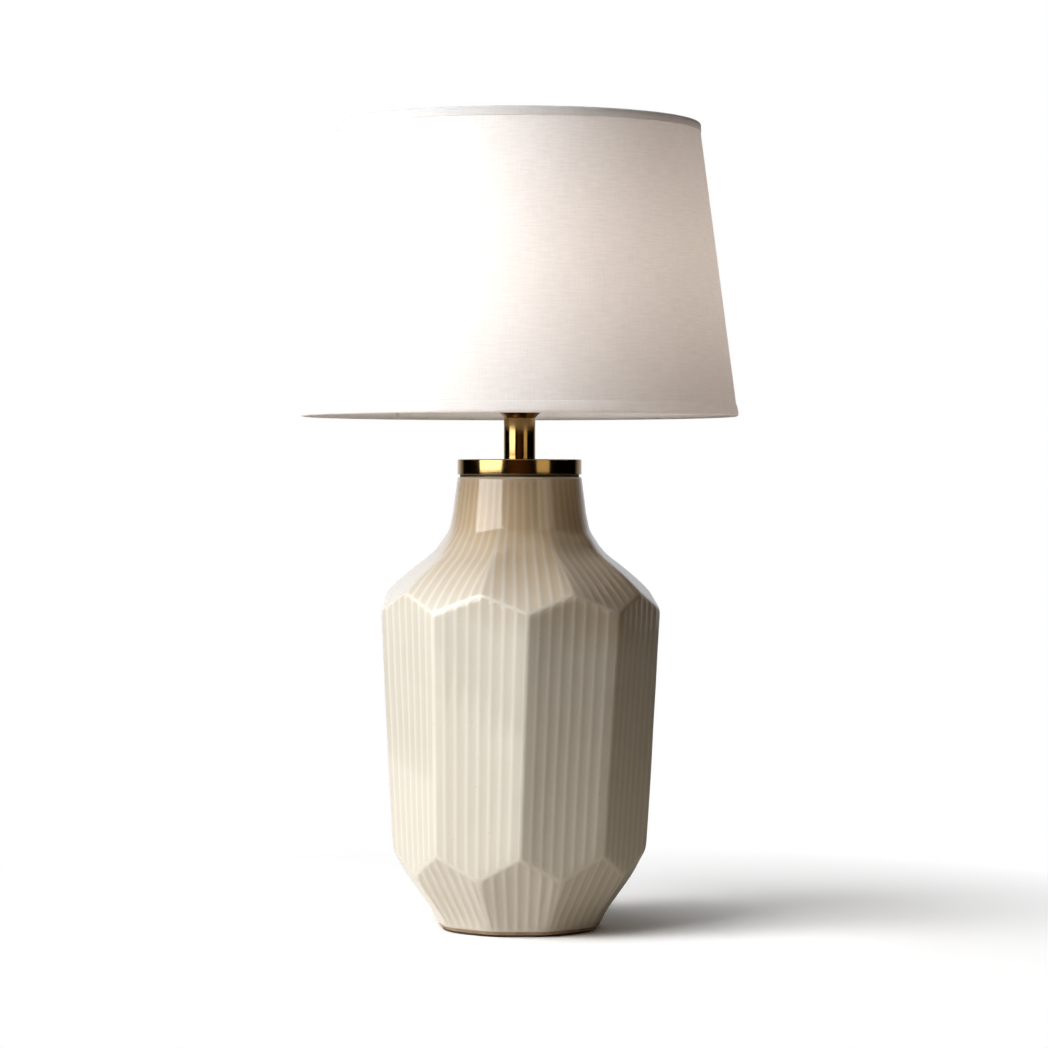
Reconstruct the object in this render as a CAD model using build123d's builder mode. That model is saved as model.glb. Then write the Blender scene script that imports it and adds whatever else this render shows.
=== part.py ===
"""Table lamp with a faceted, fluted ceramic base, a brass neck and a tapered linen shade.

Millimetres, +Z up. The origin is the centre of the felt pad's underside, on the table.
The front of the lamp faces -Y and the mains inlet faces +Y.
"""

import os
from math import atan2, cos, degrees, radians, sin

from build123d import *

os.makedirs("parts", exist_ok=True)

# ---- driving dimensions -------------------------------------------------------------------

FACETS = 9  # panels round the ceramic
STEP = 360 / FACETS
HEIGHT = 610.0  # table to the top of the shade

# ceramic vase
FOOT_Z = 1.5  # underside of the bare foot ring, on top of the felt
FOOT_R = 61.2
RECESS_R = 53.0  # hollow under the slab, for the plate and nut
SLAB_Z = 14.0
SLAB_THICK = 7.0
RIM_Z = 342.9
RIM_R = 47.0
MOUTH_R = 41.0
NECK_FOOT = (70.4, 282.5)  # radius and height where the round neck takes over from the facets
PANEL_LOW = (60.0, 98.0)  # height and corner radius of the tall panels, low and high
PANEL_HIGH = (231.0, 107.5)
LOW_TURN = 0.2  # the panels lean: their corners' bearing at the foot and at the shoulder
HIGH_TURN = 3.4
# height and half-width across the flats of the shoulder facets and of the foot facets
SHOULDER = [
    (0, 300),
    (242, 108.1),
    (258, 94.5),
    (270.4, 81),
    (282.5, 66.5),
    (289, 61),
    (295, 58.9),
    (345, 60),
]
FOOT_FACETS = [(0, 58.5), (61, 97.7), (345, 280.0)]
FACETS_TOP = 345.0  # the facets' lofts end here, just over the rim

# mains inlet, in the back panel
INLET_Z = 72.0
INLET_BORE_R = 3.75  # takes a 7 mm round cord
INLET_HOLE_R = 5.5
INLET_FLANGE_R = 8.0
INLET_FACE_Y = 91.6  # flat seat for the grommet's flange
INLET_CUT = 14.0  # length of the cuts, out past the ridges and in past the wall

# pipe and neck
PIPE_R = 5.0  # M10 x 1 lamp pipe
PIPE_LOW = 3.0
PIPE_TOP = 394.0
RUN = 0.3  # clearance of drilled holes over the pipe
CAP_R = 47.1
CAP_LOW = 344.4
CAP_TOP = 355.8
CAP_WALL = 1.4
TUBE_R = 12.0
TUBE_WALL = 1.5
TUBE_TOP = 387.3

# lampholder, size E26/E27
HOLDER_R = 18.6
HOLDER_Z = 388.6
SKIRT_LOW = 409.0
SKIRT_TOP = 446.0
SHOULDER_R = 23.0
SHOULDER_Z = 425.0
THREAD_R = 20.0
KNOB_Z = 401.5
SHAFT_R = 2.0

# shade
SHADE_LOW = 388.8
SHADE_LOW_R = 165.2
SHADE_TOP_R = 136.3
SHEET = 0.6  # thickness of the liner, and of the linen on it
HEM = 8.0  # depth of the turned hems
WIRE_R = 1.5
ARM_BEARING = 127.7  # first spider arm, from +X
ARM_KNEE_R = 108.0
FITTER_R = 20.7
FITTER_OUT_R = 27.0
FITTER_Z = 425.3
FITTER_THICK = 2.0

# bulb, size A60
BULB_R = 30.0
BULB_CENTRE = 497.0
CAP_THREAD_R = 13.0
THREAD_PITCH = 3.63  # of the lamp thread; the rings stand in for the helix


def shade_radius(z):
    """Outer radius of the linen at height z."""
    share = (z - SHADE_LOW) / (HEIGHT - SHADE_LOW)
    return SHADE_LOW_R + (SHADE_TOP_R - SHADE_LOW_R) * share


def panel_radius(z):
    """Corner radius of the tall panels at height z."""
    (low_z, low_r), (high_z, high_r) = PANEL_LOW, PANEL_HIGH
    return low_r + (high_r - low_r) * (z - low_z) / (high_z - low_z)


def panel_turn(z):
    """Bearing of a panel corner at height z, from +X; the corners' lean is even all the way up."""
    low_z, high_z = 61.0, SHOULDER[1][0]
    return LOW_TURN + (HIGH_TURN - LOW_TURN) * (z - low_z) / (high_z - low_z) - 90


def thread_points(crest, root, low, high, pitch):
    """Rounded-off thread drawn as rings, from low to high: (radius, height) points."""
    turns = int((high - low) / pitch)
    points = [(root, low)]
    for i in range(turns):
        z = low + i * pitch
        points += [(root, z + 0.25 * pitch), (crest, z + 0.45 * pitch)]
        points += [(crest, z + 0.7 * pitch), (root, z + 0.9 * pitch)]
    return points + [(root, high)]


# ---- ceramic vase -------------------------------------------------------------------------

with BuildPart() as vase_body:
    with BuildSketch(Plane.XZ):
        with BuildLine():
            Polyline((0, FOOT_Z), (FOOT_R, FOOT_Z), (90, 40), (112, 60), (112, 248), (104, 257), NECK_FOOT)
            Spline(NECK_FOOT, (52.6, 309.9), tangents=[(-1.2, 1), (-0.17, 1)])
            Polyline((52.6, 309.9), (RIM_R, RIM_Z), (0, RIM_Z), (0, FOOT_Z))
        make_face()
    revolve(axis=Axis.Z)
    for z in (0, FACETS_TOP):
        with BuildSketch(Plane.XY.offset(z)):
            RegularPolygon(panel_radius(z), FACETS, rotation=panel_turn(z))
    loft(ruled=True, mode=Mode.INTERSECT)
    for z, half_width in SHOULDER:
        with BuildSketch(Plane.XY.offset(z)):
            RegularPolygon(half_width, FACETS, major_radius=False, rotation=HIGH_TURN + STEP / 2 - 90)
    loft(ruled=True, mode=Mode.INTERSECT)
    for z, half_width in FOOT_FACETS:
        with BuildSketch(Plane.XY.offset(z)):
            RegularPolygon(half_width, FACETS, major_radius=False, rotation=LOW_TURN + STEP / 2 - 90)
    loft(ruled=True, mode=Mode.INTERSECT)
    # hollow inside, open at the mouth
    with BuildSketch(Plane.XZ):
        with BuildLine():
            Polyline((0, SLAB_Z + SLAB_THICK), (62, SLAB_Z + SLAB_THICK), (79.5, 42), (87.5, 62), (96, 222))
            Spline((96, 222), (87, 257), (60, 283), (47, 305), (MOUTH_R, 329), tangents=[(0.03, 1), (0, 1)])
            Polyline((MOUTH_R, 329), (MOUTH_R, RIM_Z), (0, RIM_Z), (0, SLAB_Z + SLAB_THICK))
        make_face()
    revolve(axis=Axis.Z, mode=Mode.SUBTRACT)
    # recess under the slab, and the hole for the pipe
    with BuildSketch(Plane.XY.offset(FOOT_Z)):
        Circle(RECESS_R)
    extrude(amount=SLAB_Z - FOOT_Z, mode=Mode.SUBTRACT)
    with BuildSketch(Plane.XY.offset(SLAB_Z)):
        Circle(PIPE_R + 0.7)
    extrude(amount=SLAB_THICK, mode=Mode.SUBTRACT)
    # mains inlet: a flat seat, and the hole through the wall
    with BuildSketch(Plane.XZ.offset(-INLET_FACE_Y)):
        with Locations((0, INLET_Z)):
            Circle(INLET_FLANGE_R + 0.3)
    extrude(amount=-INLET_CUT, mode=Mode.SUBTRACT)
    with BuildSketch(Plane.XZ.offset(-INLET_FACE_Y)):
        with Locations((0, INLET_Z)):
            Circle(INLET_HOLE_R)
    extrude(amount=INLET_CUT, mode=Mode.SUBTRACT)

# flanged rubber bush that guides the mains cord through the wall
WALL_IN_Y = 87.4  # inner face of the wall at the inlet, at the flange's edge
with BuildPart() as cord_grommet:
    with BuildSketch(Plane.YZ):
        with BuildLine():
            Polyline(
                (WALL_IN_Y - 2.4, INLET_BORE_R),
                (WALL_IN_Y - 2.4, INLET_HOLE_R + 0.6),
                (WALL_IN_Y - 0.3, INLET_HOLE_R + 0.9),
                (WALL_IN_Y - 0.3, INLET_HOLE_R - 0.1),
                (INLET_FACE_Y + 0.05, INLET_HOLE_R - 0.1),
                (INLET_FACE_Y + 0.05, INLET_FLANGE_R),
                (INLET_FACE_Y + 2.0, INLET_FLANGE_R),
                (INLET_FACE_Y + 3.4, INLET_FLANGE_R - 1.6),
                (INLET_FACE_Y + 3.4, INLET_BORE_R),
                close=True,
            )
        make_face()
    revolve(axis=Axis.Y)
cord_grommet.part = cord_grommet.part.moved(Location((0, 0, INLET_Z)))

# ---- underside: felt, plate, washers and nut ----------------------------------------------

PLATE_Z = 10.2
WASHER_Z = 9.0
NUT_Z = 4.0
GASKET_R = 30.0
GASKET_THICK = 1.0
WASHER_R = 10.0
NUT_HALF_WIDTH = 8.5

with BuildPart() as felt_pad:
    with BuildSketch():
        Circle(FOOT_R - 2.7)
    extrude(amount=FOOT_Z)

with BuildPart() as rubber_gasket:
    with BuildSketch(Plane.XY.offset(SLAB_Z - GASKET_THICK)):
        Circle(GASKET_R)
        Circle(PIPE_R + RUN, mode=Mode.SUBTRACT)
    extrude(amount=GASKET_THICK)

with BuildPart() as base_plate:
    with BuildSketch(Plane.XY.offset(PLATE_Z)):
        Circle(RECESS_R - 2)
        Circle(PIPE_R + RUN, mode=Mode.SUBTRACT)
    extrude(amount=SLAB_Z - GASKET_THICK - PLATE_Z)
    fillet(base_plate.edges().filter_by(GeomType.CIRCLE).sort_by(SortBy.RADIUS)[-2:], 0.6)

with BuildPart() as lock_washer:
    with BuildSketch(Plane.XY.offset(WASHER_Z)):
        Circle(WASHER_R)
        Circle(PIPE_R + 0.2, mode=Mode.SUBTRACT)
    extrude(amount=PLATE_Z - WASHER_Z)

with BuildPart() as hex_nut:
    with BuildSketch(Plane.XY.offset(NUT_Z)):
        RegularPolygon(NUT_HALF_WIDTH, 6, major_radius=False)
        Circle(PIPE_R + 0.05, mode=Mode.SUBTRACT)
    extrude(amount=WASHER_Z - NUT_Z)
    with BuildSketch(Plane.XZ) as nut_outline:
        with BuildLine():
            Polyline(
                (0, NUT_Z),
                (8.4, NUT_Z),
                (9.9, NUT_Z + 0.9),
                (9.9, WASHER_Z - 0.9),
                (8.4, WASHER_Z),
                (0, WASHER_Z),
                close=True,
            )
        make_face()
    revolve(axis=Axis.Z, mode=Mode.INTERSECT)

# hollow pipe that ties the lamp together; a slot over the slab lets the cord in
SLOT_LONG = 22.0
SLOT_WIDE = 5.0
with BuildPart() as lamp_pipe:
    with BuildSketch(Plane.XY.offset(PIPE_LOW)):
        Circle(PIPE_R)
        Circle(PIPE_R - 1, mode=Mode.SUBTRACT)
    extrude(amount=PIPE_TOP - PIPE_LOW)
    chamfer(lamp_pipe.edges().filter_by(GeomType.CIRCLE).sort_by(SortBy.RADIUS)[-2:], 0.4)
    with BuildSketch(Plane.XZ):
        with Locations((0, INLET_Z)):
            SlotOverall(SLOT_LONG, SLOT_WIDE, rotation=90)
    extrude(amount=-PIPE_R - 1, mode=Mode.SUBTRACT)

# ---- neck ---------------------------------------------------------------------------------

# moulded plug that centres the cap in the mouth; its rim shows as a dark line under the brass
BUNG_R = 45.2
with BuildPart() as neck_bung:
    with BuildSketch(Plane.XZ):
        with BuildLine():
            Polyline(
                (PIPE_R + RUN, CAP_TOP - CAP_WALL - 6),
                (9, CAP_TOP - CAP_WALL - 6),
                (9, CAP_TOP - CAP_WALL - 3),
                (37.4, CAP_TOP - CAP_WALL - 3),
                (37.4, 330),
                (MOUTH_R - 0.6, 330),
                (MOUTH_R - 0.6, RIM_Z),
                (BUNG_R, RIM_Z),
                (BUNG_R, CAP_TOP - CAP_WALL),
                (PIPE_R + RUN, CAP_TOP - CAP_WALL),
                close=True,
            )
        make_face()
    revolve(axis=Axis.Z)

with BuildPart() as neck_cap:
    with BuildSketch(Plane.XY.offset(CAP_LOW)):
        Circle(CAP_R)
    extrude(amount=CAP_TOP - CAP_LOW)
    fillet(neck_cap.edges().group_by(Axis.Z)[-1], 0.7)
    with BuildSketch(Plane.XY.offset(CAP_LOW)):
        Circle(CAP_R - CAP_WALL)
    extrude(amount=CAP_TOP - CAP_WALL - CAP_LOW, mode=Mode.SUBTRACT)
    with BuildSketch(Plane.XY.offset(CAP_LOW)):
        Circle(PIPE_R + RUN)
    extrude(amount=CAP_TOP - CAP_LOW, mode=Mode.SUBTRACT)

with BuildPart() as neck_tube:
    with BuildSketch(Plane.XY.offset(CAP_TOP)):
        Circle(TUBE_R)
        Circle(TUBE_R - TUBE_WALL, mode=Mode.SUBTRACT)
    extrude(amount=TUBE_TOP - CAP_TOP)

# seat rings hold the wide tube central on the thin pipe, one at each end
RING_THICK = 3.0
with BuildPart() as tube_seat_rings:
    for z in (CAP_TOP, TUBE_TOP - RING_THICK):
        with BuildSketch(Plane.XY.offset(z)):
            Circle(TUBE_R - TUBE_WALL - 0.1)
            Circle(PIPE_R + RUN, mode=Mode.SUBTRACT)
        extrude(amount=RING_THICK)

# flared brass cup under the lampholder
CUP_TOP = 398.0
CUP_R = 20.4
with BuildPart() as socket_cup:
    with BuildSketch(Plane.XZ):
        with BuildLine():
            Line((PIPE_R + RUN, TUBE_TOP), (TUBE_R + 0.3, TUBE_TOP))
            Spline((TUBE_R + 0.3, TUBE_TOP), (17.1, 391.9), (CUP_R, 395), tangents=[(0.35, 1), (0.15, 1)])
            Polyline((CUP_R, 395), (CUP_R, CUP_TOP), (CUP_R - 1.3, CUP_TOP), (CUP_R - 1.3, 396.2))
            Spline((CUP_R - 1.3, 396.2), (15.8, 392.9), (12.4, HOLDER_Z), tangents=[(-0.1, -1), (-0.6, -1)])
            Polyline((12.4, HOLDER_Z), (PIPE_R + RUN, HOLDER_Z), (PIPE_R + RUN, TUBE_TOP))
        make_face()
    revolve(axis=Axis.Z)

# ---- lampholder ---------------------------------------------------------------------------

HUB_TOP = 394.0
LEDGE_Z = 407.0  # the terminal block's flange is held between this ledge and the skirt
LEDGE_R = 16.4
with BuildPart() as holder_base:
    with BuildSketch(Plane.XZ):
        with BuildLine():
            Polyline(
                (PIPE_R + 0.05, HOLDER_Z),
                (11.6, HOLDER_Z),
                (15.0, 393.6),
                (HOLDER_R, 398.4),
                (HOLDER_R, SKIRT_LOW),
                (LEDGE_R, SKIRT_LOW),
                (LEDGE_R, LEDGE_Z),
                (15.4, LEDGE_Z),
                (15.4, 399.0),
                (13.4, 396),
                (9.0, 391.4),
                (9.0, HUB_TOP),
                (PIPE_R + 0.05, HUB_TOP),
                close=True,
            )
        make_face()
    revolve(axis=Axis.Z)
    with BuildSketch(Plane.YZ.offset(12)):
        with Locations((0, KNOB_Z)):
            Circle(2.3)
    extrude(amount=10, mode=Mode.SUBTRACT)

with BuildPart() as holder_skirt:
    outer = thread_points(THREAD_R, THREAD_R - 0.7, SHOULDER_Z, SKIRT_TOP - 2, 2.5)
    with BuildSketch(Plane.XZ):
        with BuildLine():
            Polyline(
                (15.5, SKIRT_LOW),
                (HOLDER_R, SKIRT_LOW),
                (HOLDER_R, 417),
                (SHOULDER_R - 1, 420),
                (SHOULDER_R, 421),
                (SHOULDER_R, SHOULDER_Z),
                *outer,
                (THREAD_R - 1.6, SKIRT_TOP),
                (15.5, SKIRT_TOP),
                close=True,
            )
        make_face()
    revolve(axis=Axis.Z)

BLOCK_LOW = 405.5
BLOCK_TOP = 413.0
SCREW_Y = 11.0
with BuildPart() as terminal_block:
    with BuildSketch(Plane.XY.offset(BLOCK_LOW)):
        Circle(15.2)
    extrude(amount=BLOCK_TOP - BLOCK_LOW)
    with BuildSketch(Plane.XY.offset(LEDGE_Z)):
        Circle(LEDGE_R - 0.2)
    extrude(amount=SKIRT_LOW - LEDGE_Z)
    with BuildSketch(Plane.XY.offset(BLOCK_LOW)):
        with Locations((0, SCREW_Y), (0, -SCREW_Y)):
            Circle(1.6)
        with Locations((-10, 0), (10, 0)):
            RectangleRounded(2.4, 6, 1)
    extrude(amount=BLOCK_TOP - BLOCK_LOW, mode=Mode.SUBTRACT)

with BuildPart() as terminal_screws:
    for y in (SCREW_Y, -SCREW_Y):
        with BuildSketch(Plane.XY.offset(BLOCK_LOW - 2)):
            with Locations((0, y)):
                Circle(2.8)
        extrude(amount=2)
        with BuildSketch(Plane.XY.offset(BLOCK_LOW)):
            with Locations((0, y)):
                Circle(1.5)
        extrude(amount=6)
        with BuildSketch(Plane.XY.offset(BLOCK_LOW - 2)):
            with Locations((0, y)):
                Rectangle(6, 0.7)
        extrude(amount=0.9, mode=Mode.SUBTRACT)

# rolled brass screw shell: a thin wall that follows the lamp thread
SHELL_WALL = 0.45
with BuildPart() as screw_shell:
    wave = thread_points(14.8, 13.8, BLOCK_TOP + 1, 441, THREAD_PITCH)
    inside = [(r - SHELL_WALL, z) for r, z in reversed(wave)]
    with BuildSketch(Plane.XZ):
        with BuildLine():
            Polyline((9.5, BLOCK_TOP), (13.8, BLOCK_TOP), *wave, *inside, (9.5, BLOCK_TOP + 1), close=True)
        make_face()
    revolve(axis=Axis.Z)

# sprung tongue under the bulb's tip
TONGUE_Z = 417.0
with BuildPart() as centre_contact:
    with BuildSketch(Plane.XZ):
        with BuildLine():
            Polyline((-7, BLOCK_TOP), (-2.5, BLOCK_TOP), (2.8, TONGUE_Z - 0.4), (5, TONGUE_Z - 1.4))
            offset(amount=0.25, side=Side.BOTH)
        make_face()
    extrude(amount=2.5, both=True)
    with BuildSketch(Plane.XY.offset(BLOCK_TOP - 2)):
        Rectangle(30, 30)
    extrude(amount=2, mode=Mode.SUBTRACT)

with BuildPart() as switch_block:
    with BuildSketch(Plane.XY.offset(397)):
        with Locations((1, 0)):
            RectangleRounded(15, 12, 2)
    extrude(amount=8.2)
    with BuildSketch(Plane.YZ):
        with Locations((0, KNOB_Z)):
            Circle(SHAFT_R + 0.1)
    extrude(amount=12, mode=Mode.SUBTRACT)

# ---- rotary switch: shaft and knob --------------------------------------------------------

with BuildPart() as switch_shaft:
    with BuildSketch(Plane.YZ.offset(0.5)):
        with Locations((0, KNOB_Z)):
            Circle(SHAFT_R)
    extrude(amount=31.5)

KNOB_X = 23.0
KNOB_R = 6.0
KNOB_LONG = 11.0
KNOB_GRIPS = 12
with BuildPart() as switch_knob:
    with BuildSketch(Plane.YZ.offset(KNOB_X)):
        with Locations((0, KNOB_Z)):
            Circle(KNOB_R)
            Circle(SHAFT_R, mode=Mode.SUBTRACT)
            with PolarLocations(KNOB_R + 0.2, KNOB_GRIPS):
                Circle(0.8, mode=Mode.SUBTRACT)
    extrude(amount=KNOB_LONG)
    with BuildSketch(Plane.YZ.offset(KNOB_X + KNOB_LONG - 2)):
        with Locations((0, KNOB_Z)):
            Circle(KNOB_R - 0.8)
    extrude(amount=3)
    chamfer(switch_knob.edges().filter_by(GeomType.CIRCLE).sort_by(Axis.X)[-1], 0.8)

# ---- shade ring that clamps the shade's fitter --------------------------------------------

RING_Z = 427.6
RING_FLANGE_R = 28.5
RING_R = 24.6
RING_TALL = 9.0
RING_GRIPS = 18
with BuildPart() as shade_ring:
    with BuildSketch(Plane.XY.offset(RING_Z)):
        Circle(RING_FLANGE_R)
    extrude(amount=2.6)
    with BuildSketch(Plane.XY.offset(RING_Z)):
        Circle(RING_R)
        with PolarLocations(RING_R, RING_GRIPS):
            Circle(0.9)
    extrude(amount=RING_TALL)
    with BuildSketch(Plane.XY.offset(RING_Z)):
        Circle(THREAD_R + 0.4)
    extrude(amount=RING_TALL, mode=Mode.SUBTRACT)

# ---- shade --------------------------------------------------------------------------------

WIRE_LOW_Z = SHADE_LOW + 2.2
WIRE_LOW_R = shade_radius(WIRE_LOW_Z) - 2 * SHEET - WIRE_R - 0.25
WIRE_TOP_Z = HEIGHT - 2.2
WIRE_TOP_R = shade_radius(WIRE_TOP_Z) - 2 * SHEET - WIRE_R - 0.45

with BuildPart() as bottom_wire:
    with BuildSketch(Plane.XZ):
        with Locations((WIRE_LOW_R, WIRE_LOW_Z)):
            Circle(WIRE_R)
    revolve(axis=Axis.Z)

with BuildPart() as top_wire:
    with BuildSketch(Plane.XZ):
        with Locations((WIRE_TOP_R, WIRE_TOP_Z)):
            Circle(WIRE_R)
    revolve(axis=Axis.Z)

# one arm of the spider: level out from the fitter, then down to the bottom wire
ARM_Z = FITTER_Z + FITTER_THICK / 2
with BuildPart() as arm:
    with BuildLine() as arm_line:
        arm_foot = (WIRE_LOW_R, 0, WIRE_LOW_Z)
        FilletPolyline((FITTER_OUT_R - 2, 0, ARM_Z), (ARM_KNEE_R, 0, ARM_Z), arm_foot, radius=12)
    with BuildSketch(Plane(origin=arm_line.line @ 0, z_dir=arm_line.line % 0)):
        Circle(WIRE_R)
    sweep()

with BuildPart() as shade_spider:
    with BuildSketch(Plane.XY.offset(FITTER_Z)):
        Circle(FITTER_OUT_R)
        Circle(FITTER_R, mode=Mode.SUBTRACT)
    extrude(amount=FITTER_THICK)
    with PolarLocations(0, 3, start_angle=ARM_BEARING):
        add(arm.part)
    with BuildSketch(Plane.XY.offset(FITTER_Z - 2)):
        Circle(FITTER_R)
    extrude(amount=FITTER_THICK + 4, mode=Mode.SUBTRACT)
    add(bottom_wire.part, mode=Mode.SUBTRACT)
    # the arms stay level with the fitter under the clamping ring and over the holder's shoulder
    for z, thick in ((FITTER_Z - 3, 3), (FITTER_Z + FITTER_THICK, 3)):
        with BuildSketch(Plane.XY.offset(z)):
            Circle(30)
        extrude(amount=thick, mode=Mode.SUBTRACT)


def sheet_outline(low, high, depth):
    """Corners of a slanted sheet's section, from depth to depth + SHEET inside the linen's face."""
    return [
        (shade_radius(low) - depth, low),
        (shade_radius(high) - depth, high),
        (shade_radius(high) - depth - SHEET, high),
        (shade_radius(low) - depth - SHEET, low),
    ]


with BuildPart() as shade_fabric:
    with BuildSketch(Plane.XZ):
        with BuildLine():
            Polyline(*sheet_outline(SHADE_LOW + 0.6, HEIGHT - 0.6, 0), close=True)
        make_face()
    revolve(axis=Axis.Z)

with BuildPart() as shade_liner:
    with BuildSketch(Plane.XZ):
        with BuildLine():
            Polyline(*sheet_outline(SHADE_LOW + 0.6, HEIGHT - 0.6, SHEET), close=True)
        make_face()
    revolve(axis=Axis.Z)

HEM_THICK = 0.5
GAP = 0.05  # between the hem and what it wraps


def hem_outline(edge, up, wire_r):
    """A hem folded round the sheet's edge and the wire: along the face, over the edge, in past the wire."""
    outer_far = shade_radius(edge + up * HEM) + GAP
    outer_near = shade_radius(edge + up * 0.6) + GAP
    inner = wire_r - WIRE_R - GAP
    lip = edge + up * (HEM_THICK + GAP)
    return [
        (outer_far, edge + up * HEM),
        (outer_near, lip),
        (inner, lip),
        (inner, edge + up * 6.5),
        (inner - HEM_THICK, edge + up * 6.5),
        (inner - HEM_THICK, edge + up * 0.6),
        (inner, edge),
        (outer_near + 0.1, edge),
        (outer_near + HEM_THICK + 0.1, edge + up * 0.6),
        (outer_far + HEM_THICK, edge + up * HEM),
    ]


with BuildPart() as bottom_hem:
    with BuildSketch(Plane.XZ):
        with BuildLine():
            Polyline(*hem_outline(SHADE_LOW, 1, WIRE_LOW_R), close=True)
        make_face()
    revolve(axis=Axis.Z)
    # snipped round the three arms
    with PolarLocations(0, 3, start_angle=ARM_BEARING):
        with Locations((WIRE_LOW_R - WIRE_R - 1, 0, WIRE_LOW_Z + 1.5)):
            Box(3, 4.4, 7, mode=Mode.SUBTRACT)

with BuildPart() as top_hem:
    with BuildSketch(Plane.XZ):
        with BuildLine():
            Polyline(*hem_outline(HEIGHT, -1, WIRE_TOP_R), close=True)
        make_face()
    revolve(axis=Axis.Z)

# ---- bulb ---------------------------------------------------------------------------------

TIP_Z = TONGUE_Z + 0.3
JOIN_Z = 484.0  # where the white housing meets the opal dome
JOIN_R = (BULB_R**2 - (BULB_CENTRE - JOIN_Z) ** 2) ** 0.5
BULB_WALL = 1.0
CAP_END = 443.0
BOARD_Z = 478.0
BOARD_THICK = 1.6

with BuildPart() as bulb_tip:
    with BuildSketch(Plane.XZ):
        with BuildLine():
            Polyline((0, TIP_Z), (2.6, TIP_Z + 0.3), (4.4, TIP_Z + 1.6), (0, TIP_Z + 1.6), close=True)
        make_face()
    revolve(axis=Axis.Z)

with BuildPart() as bulb_insulator:
    with BuildSketch(Plane.XZ):
        with BuildLine():
            Polyline((0, TIP_Z + 1.7), (4.6, TIP_Z + 1.7), (10.4, TIP_Z + 5.6), (0, TIP_Z + 5.6), close=True)
        make_face()
    revolve(axis=Axis.Z)

with BuildPart() as bulb_cap:
    CAP_START = TIP_Z + 5.7
    wave = thread_points(CAP_THREAD_R, CAP_THREAD_R - 0.9, CAP_START + 0.6, CAP_END, THREAD_PITCH)
    with BuildSketch(Plane.XZ):
        with BuildLine():
            Polyline(
                (0, CAP_START),
                (10.6, CAP_START),
                *wave,
                (11.6, CAP_END),
                (11.6, CAP_START + 1),
                (0, CAP_START + 1),
                close=True,
            )
        make_face()
    revolve(axis=Axis.Z)

with BuildPart() as bulb_housing:
    with BuildSketch(Plane.XZ):
        with BuildLine():
            Polyline((11.5, 436), (11.5, CAP_END + 0.1), (13.4, CAP_END + 0.1), (13.4, 447))
            Spline((13.4, 447), (19.5, 463), (JOIN_R, JOIN_Z), tangents=[(0.1, 1), (0.5, 1)])
            Polyline((JOIN_R, JOIN_Z), (JOIN_R - BULB_WALL, JOIN_Z))
            Spline((JOIN_R - BULB_WALL, JOIN_Z), (18.4, 463), (10.4, 446), tangents=[(-0.5, -1), (-0.1, -1)])
            Polyline((10.4, 446), (10.4, 436), (11.5, 436))
        make_face()
    revolve(axis=Axis.Z)

with BuildPart() as bulb_led_board:
    with BuildSketch(Plane.XY.offset(BOARD_Z)):
        Circle(22.5)
    extrude(amount=BOARD_THICK)
    with BuildSketch(Plane.XY.offset(BOARD_Z + BOARD_THICK)):
        with PolarLocations(14, 8):
            Rectangle(3.5, 2.8)
    extrude(amount=0.8)

# opal dome: a sphere cut off level where it meets the housing
DOME_START = degrees(atan2(JOIN_Z - BULB_CENTRE, JOIN_R))
with BuildPart() as bulb_dome:
    with BuildSketch(Plane.XZ):
        with BuildLine():
            CenterArc((0, BULB_CENTRE), BULB_R, DOME_START, 90 - DOME_START)
            Line((0, BULB_CENTRE + BULB_R), (0, BULB_CENTRE + BULB_R - BULB_WALL))
            CenterArc((0, BULB_CENTRE), BULB_R - BULB_WALL, DOME_START, 90 - DOME_START)
            inner_r = BULB_R - BULB_WALL
            start = radians(DOME_START)
            Line((inner_r * cos(start), BULB_CENTRE + inner_r * sin(start)), (JOIN_R, JOIN_Z))
        make_face()
    revolve(axis=Axis.Z)
    with BuildSketch(Plane.XY.offset(JOIN_Z - 5)):
        Circle(BULB_R)
    extrude(amount=5.05, mode=Mode.SUBTRACT)

# ---- files --------------------------------------------------------------------------------

vase_body.part.label = "vase_body"
export_step(vase_body.part, "parts/vase_body.step")
cord_grommet.part.label = "cord_grommet"
export_step(cord_grommet.part, "parts/cord_grommet.step")
felt_pad.part.label = "felt_pad"
export_step(felt_pad.part, "parts/felt_pad.step")
rubber_gasket.part.label = "rubber_gasket"
export_step(rubber_gasket.part, "parts/rubber_gasket.step")
base_plate.part.label = "base_plate"
export_step(base_plate.part, "parts/base_plate.step")
lock_washer.part.label = "lock_washer"
export_step(lock_washer.part, "parts/lock_washer.step")
hex_nut.part.label = "hex_nut"
export_step(hex_nut.part, "parts/hex_nut.step")
lamp_pipe.part.label = "lamp_pipe"
export_step(lamp_pipe.part, "parts/lamp_pipe.step")
neck_bung.part.label = "neck_bung"
export_step(neck_bung.part, "parts/neck_bung.step")
neck_cap.part.label = "neck_cap"
export_step(neck_cap.part, "parts/neck_cap.step")
neck_tube.part.label = "neck_tube"
export_step(neck_tube.part, "parts/neck_tube.step")
tube_seat_rings.part.label = "tube_seat_rings"
export_step(tube_seat_rings.part, "parts/tube_seat_rings.step")
socket_cup.part.label = "socket_cup"
export_step(socket_cup.part, "parts/socket_cup.step")
holder_base.part.label = "holder_base"
export_step(holder_base.part, "parts/holder_base.step")
holder_skirt.part.label = "holder_skirt"
export_step(holder_skirt.part, "parts/holder_skirt.step")
terminal_block.part.label = "terminal_block"
export_step(terminal_block.part, "parts/terminal_block.step")
terminal_screws.part.label = "terminal_screws"
export_step(terminal_screws.part, "parts/terminal_screws.step")
screw_shell.part.label = "screw_shell"
export_step(screw_shell.part, "parts/screw_shell.step")
centre_contact.part.label = "centre_contact"
export_step(centre_contact.part, "parts/centre_contact.step")
switch_block.part.label = "switch_block"
export_step(switch_block.part, "parts/switch_block.step")
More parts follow.
